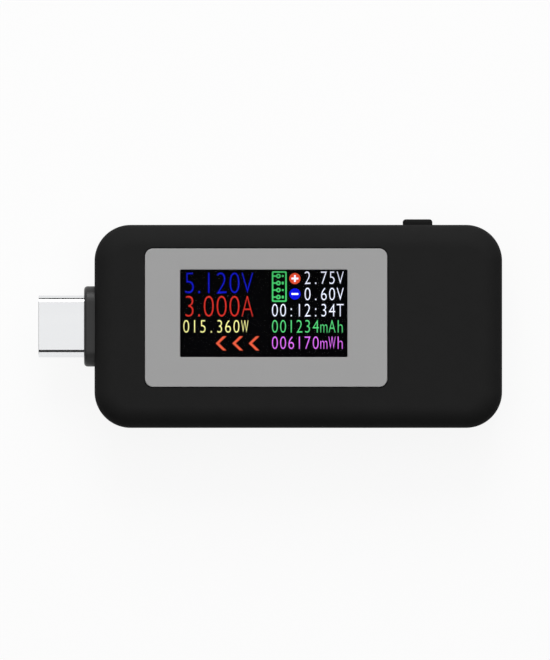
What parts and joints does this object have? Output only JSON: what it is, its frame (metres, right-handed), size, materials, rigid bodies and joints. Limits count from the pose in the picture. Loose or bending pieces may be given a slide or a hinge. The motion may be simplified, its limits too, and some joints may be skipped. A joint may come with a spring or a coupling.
{
  "type": "usb power meter",
  "caption": "Pocket-sized inline power meter with a plug at one end, a socket at the other, a colour display under a grey panel and a side push button.",
  "frame": {"origin": "centre of the flat back face, on which the meter rests", "axes": "+X towards the socket end, +Y towards the button side, +Z out of the display"},
  "size_m": [0.0617, 0.0278, 0.0121],
  "materials": {
    "case_plastic": "fine matt texture",
    "button_plastic": "fine matt texture",
    "collar_plastic": "smooth matt",
    "panel_plastic": "satin grey",
    "adhesive_tape": "soft",
    "lens_plastic": "clear polished",
    "display_glass": "dark glass",
    "polarizer_film": "dark satin film",
    "white_plastic": "white",
    "guide_plastic": "clear",
    "led_package": "pale phosphor",
    "flex_film": "amber film",
    "foam": "soft foam",
    "board_laminate": "solder-masked laminate",
    "chip_plastic": "moulded epoxy",
    "tinned_metal": "tin plated",
    "shunt_metal": "alloy strip",
    "capacitor_ceramic": "ceramic",
    "steel_shell": "nickel plated",
    "gold_plate": "gold plated",
    "connector_plastic": "glass-filled nylon",
    "switch_plastic": "nylon",
    "plunger_plastic": "ivory nylon"
  },
  "bodies": {
    "housing": {"front_cover": "case_plastic", "rear_cover": "case_plastic", "display_panel": "panel_plastic", "panel_adhesive": "adhesive_tape", "window_lens": "lens_plastic", "display_polarizer": "polarizer_film", "display_upper_glass": "display_glass", "display_lower_glass": "display_glass", "display_driver_chip": "chip_plastic", "display_rear_film": "polarizer_film", "backlight_frame": "white_plastic", "backlight_guide": "guide_plastic", "backlight_reflector": "white_plastic", "backlight_leds": "led_package", "display_flex": "flex_film", "display_foam": "foam", "main_board": "board_laminate", "microcontroller": "chip_plastic", "memory_chip": "chip_plastic", "amplifier_chip": "chip_plastic", "voltage_regulator": "chip_plastic", "chip_leads": "tinned_metal", "shunt_resistor": "shunt_metal", "surge_diode": "chip_plastic", "chip_capacitors": "capacitor_ceramic", "chip_resistors": "chip_plastic", "chip_end_caps": "tinned_metal", "plug_collar": "collar_plastic", "plug_shell": "steel_shell", "plug_insulator": "connector_plastic", "plug_contacts": "gold_plate", "plug_latches": "steel_shell", "plug_ground_springs": "steel_shell", "socket_shell": "steel_shell", "socket_insulator": "connector_plastic", "socket_mid_plate": "steel_shell", "socket_contacts": "gold_plate", "switch_base": "switch_plastic", "switch_cover": "steel_shell", "switch_dome": "gold_plate", "switch_terminals": "tinned_metal"},
    "button": {"button_cap": "button_plastic"},
    "switch_stem": {"switch_plunger": "plunger_plastic"}
  },
  "joints": [
    {"name": "button_press", "type": "slide", "parent": "housing", "child": "button", "axis": [0, -1, 0], "range_m": [0, 0.00025], "stiffness_N_per_m": 6400},
    {"name": "switch_stem_press", "type": "slide", "parent": "housing", "child": "switch_stem", "axis": [0, -1, 0], "range_m": [0, 0.00025]}
  ],
  "couplings": [
    {"joint": "switch_stem_press", "follows": "button_press", "ratio": 1}
  ]
}
